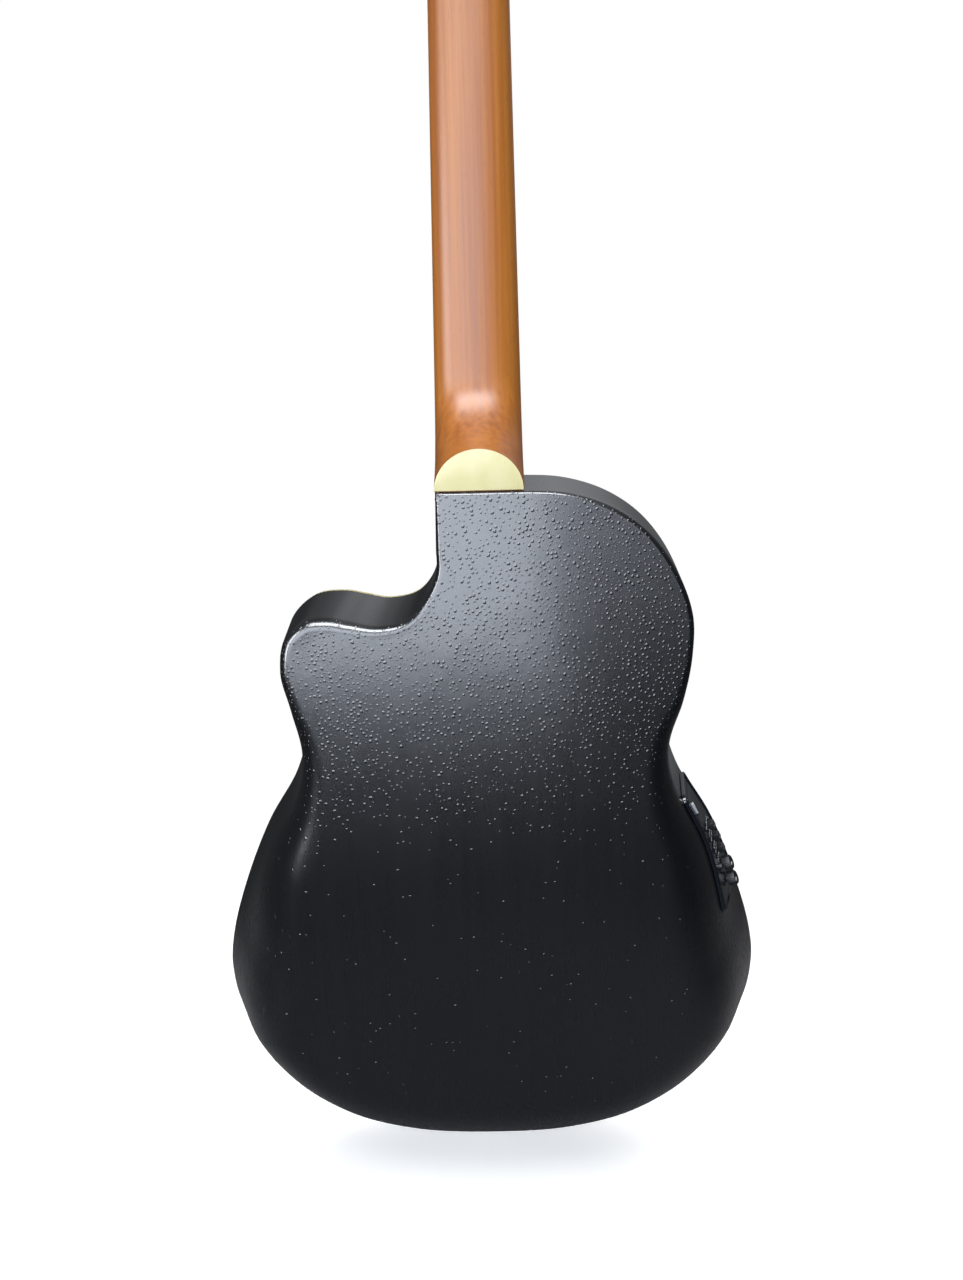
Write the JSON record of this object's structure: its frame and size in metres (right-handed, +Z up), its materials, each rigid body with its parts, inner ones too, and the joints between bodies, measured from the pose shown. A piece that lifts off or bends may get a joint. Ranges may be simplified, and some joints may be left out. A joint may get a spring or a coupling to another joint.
{
  "type": "acoustic-electric guitar",
  "caption": "Nylon-string acoustic-electric guitar with a moulded round back, a cutaway, a satin wooden neck with slotted head, and a preamp with battery drawer in its side.",
  "frame": {"origin": "on the centre line, at the height of the flats under the head's shoulders, where a wall hanger holds the neck, and level with the soundboard's face", "axes": "+Z up along the neck, +Y to the back of the body, +X to the treble side, where the cutaway is"},
  "size_m": [0.405, 0.1071, 1.0161],
  "materials": {
    "moulded_black": "moulded semi-gloss with a fine grain",
    "spruce": "satin lacquer",
    "brace_spruce": "bare wood",
    "cream_plastic": "polished",
    "satin_mahogany": "satin lacquer",
    "rosewood": "oiled",
    "bone": "polished",
    "nickel_steel": "plated",
    "brass": "plain",
    "pearl_plastic": "polished",
    "clear_nylon": "smooth",
    "silver_wound": "fine winding",
    "black_plastic": "satin",
    "knob_plastic": "satin",
    "battery_wrap": "printed sleeve, left plain",
    "cable_sheath": "smooth"
  },
  "bodies": {
    "guitar": {"bowl_shell": "moulded_black", "bridge": "rosewood", "edge_binding": "cream_plastic", "endpin_jack": "nickel_steel", "fan_strut_1": "brace_spruce", "fan_strut_2": "brace_spruce", "fan_strut_3": "brace_spruce", "fingerboard": "rosewood", "heel_cap": "cream_plastic", "jack_lead": "cable_sheath", "lower_brace": "brace_spruce", "neck": "satin_mahogany", "neck_block": "satin_mahogany", "neck_bolt": "nickel_steel", "nut": "bone", "pickup_lead": "cable_sheath", "preamp_faceplate": "black_plastic", "preamp_housing": "black_plastic", "rosette": "rosewood", "saddle": "bone", "saddle_pickup": "brass", "soundboard": "spruce", "string_1": "clear_nylon", "string_2": "clear_nylon", "string_3": "clear_nylon", "string_4": "silver_wound", "string_5": "silver_wound", "string_6": "silver_wound", "tail_block": "satin_mahogany", "top_lining": "brace_spruce", "tuner_plate_bass": "nickel_steel", "tuner_plate_treble": "nickel_steel", "upper_brace": "brace_spruce"},
    "peg_1": {"worm_shaft_1": "nickel_steel", "tuner_button_1": "pearl_plastic"},
    "post_1": {"roller_1": "bone"},
    "peg_2": {"worm_shaft_2": "nickel_steel", "tuner_button_2": "pearl_plastic"},
    "post_2": {"roller_2": "bone"},
    "peg_3": {"worm_shaft_3": "nickel_steel", "tuner_button_3": "pearl_plastic"},
    "post_3": {"roller_3": "bone"},
    "peg_4": {"worm_shaft_4": "nickel_steel", "tuner_button_4": "pearl_plastic"},
    "post_4": {"roller_4": "bone"},
    "peg_5": {"worm_shaft_5": "nickel_steel", "tuner_button_5": "pearl_plastic"},
    "post_5": {"roller_5": "bone"},
    "peg_6": {"worm_shaft_6": "nickel_steel", "tuner_button_6": "pearl_plastic"},
    "post_6": {"roller_6": "bone"},
    "slider_bass": {"slider_bass": "knob_plastic"},
    "slider_middle": {"slider_middle": "knob_plastic"},
    "slider_treble": {"slider_treble": "knob_plastic"},
    "knob_blend": {"knob_blend": "knob_plastic"},
    "knob_volume": {"knob_volume": "knob_plastic"},
    "phase_button": {"phase_button": "knob_plastic"},
    "battery_drawer": {"battery_drawer": "black_plastic", "battery": "battery_wrap"}
  },
  "joints": [
    {"name": "peg_1_turn", "type": "hinge", "parent": "guitar", "child": "peg_1", "pos_m": [0.0414, 0.01989, 0.0337], "axis": [0, 0.9744, -0.225], "continuous": true},
    {"name": "post_1_turn", "type": "hinge", "parent": "guitar", "child": "post_1", "pos_m": [0, 0.02171, 0.0416], "axis": [1, 0, 0], "continuous": true},
    {"name": "peg_2_turn", "type": "hinge", "parent": "guitar", "child": "peg_2", "pos_m": [0.0414, 0.02777, 0.06781], "axis": [0, 0.9744, -0.225], "continuous": true},
    {"name": "post_2_turn", "type": "hinge", "parent": "guitar", "child": "post_2", "pos_m": [0, 0.02959, 0.0757], "axis": [1, 0, 0], "continuous": true},
    {"name": "peg_3_turn", "type": "hinge", "parent": "guitar", "child": "peg_3", "pos_m": [0.0414, 0.03564, 0.10191], "axis": [0, 0.9744, -0.225], "continuous": true},
    {"name": "post_3_turn", "type": "hinge", "parent": "guitar", "child": "post_3", "pos_m": [0, 0.03746, 0.1098], "axis": [1, 0, 0], "continuous": true},
    {"name": "peg_4_turn", "type": "hinge", "parent": "guitar", "child": "peg_4", "pos_m": [-0.0414, 0.03564, 0.10191], "axis": [0, 0.9744, -0.225], "continuous": true},
    {"name": "post_4_turn", "type": "hinge", "parent": "guitar", "child": "post_4", "pos_m": [0, 0.03746, 0.1098], "axis": [1, 0, 0], "continuous": true},
    {"name": "peg_5_turn", "type": "hinge", "parent": "guitar", "child": "peg_5", "pos_m": [-0.0414, 0.02777, 0.06781], "axis": [0, 0.9744, -0.225], "continuous": true},
    {"name": "post_5_turn", "type": "hinge", "parent": "guitar", "child": "post_5", "pos_m": [0, 0.02959, 0.0757], "axis": [1, 0, 0], "continuous": true},
    {"name": "peg_6_turn", "type": "hinge", "parent": "guitar", "child": "peg_6", "pos_m": [-0.0414, 0.01989, 0.0337], "axis": [0, 0.9744, -0.225], "continuous": true},
    {"name": "post_6_turn", "type": "hinge", "parent": "guitar", "child": "post_6", "pos_m": [0, 0.02171, 0.0416], "axis": [1, 0, 0], "continuous": true},
    {"name": "slider_bass_slide", "type": "slide", "parent": "guitar", "child": "slider_bass", "axis": [0.2279, 0.9666, -0.1174], "range_m": [-0.009, 0.009]},
    {"name": "slider_middle_slide", "type": "slide", "parent": "guitar", "child": "slider_middle", "axis": [0.2533, 0.9585, -0.1305], "range_m": [-0.009, 0.009]},
    {"name": "slider_treble_slide", "type": "slide", "parent": "guitar", "child": "slider_treble", "axis": [0.2686, 0.9533, -0.1383], "range_m": [-0.009, 0.009]},
    {"name": "knob_blend_turn", "type": "hinge", "parent": "guitar", "child": "knob_blend", "pos_m": [-0.1685, 0.0322, -0.61954], "axis": [-0.8371, 0.3366, 0.4312], "range_deg": [-150, 150]},
    {"name": "knob_volume_turn", "type": "hinge", "parent": "guitar", "child": "knob_volume", "pos_m": [-0.17235, 0.0322, -0.6314], "axis": [-0.8219, 0.3812, 0.4233], "range_deg": [-150, 150]},
    {"name": "phase_button_press", "type": "slide", "parent": "guitar", "child": "phase_button", "axis": [0.8301, -0.3579, -0.4275], "range_m": [0, 0.001], "stiffness_N_per_m": 600, "springref_m": -0.001},
    {"name": "battery_drawer_slide", "type": "slide", "parent": "guitar", "child": "battery_drawer", "axis": [-0.889, 0, 0.4579], "range_m": [0, 0.05]}
  ],
  "couplings": [
    {"joint": "post_1_turn", "follows": "peg_1_turn", "ratio": -0.071429},
    {"joint": "post_2_turn", "follows": "peg_2_turn", "ratio": -0.071429},
    {"joint": "post_3_turn", "follows": "peg_3_turn", "ratio": -0.071429},
    {"joint": "post_4_turn", "follows": "peg_4_turn", "ratio": -0.071429},
    {"joint": "post_5_turn", "follows": "peg_5_turn", "ratio": -0.071429},
    {"joint": "post_6_turn", "follows": "peg_6_turn", "ratio": -0.071429}
  ]
}
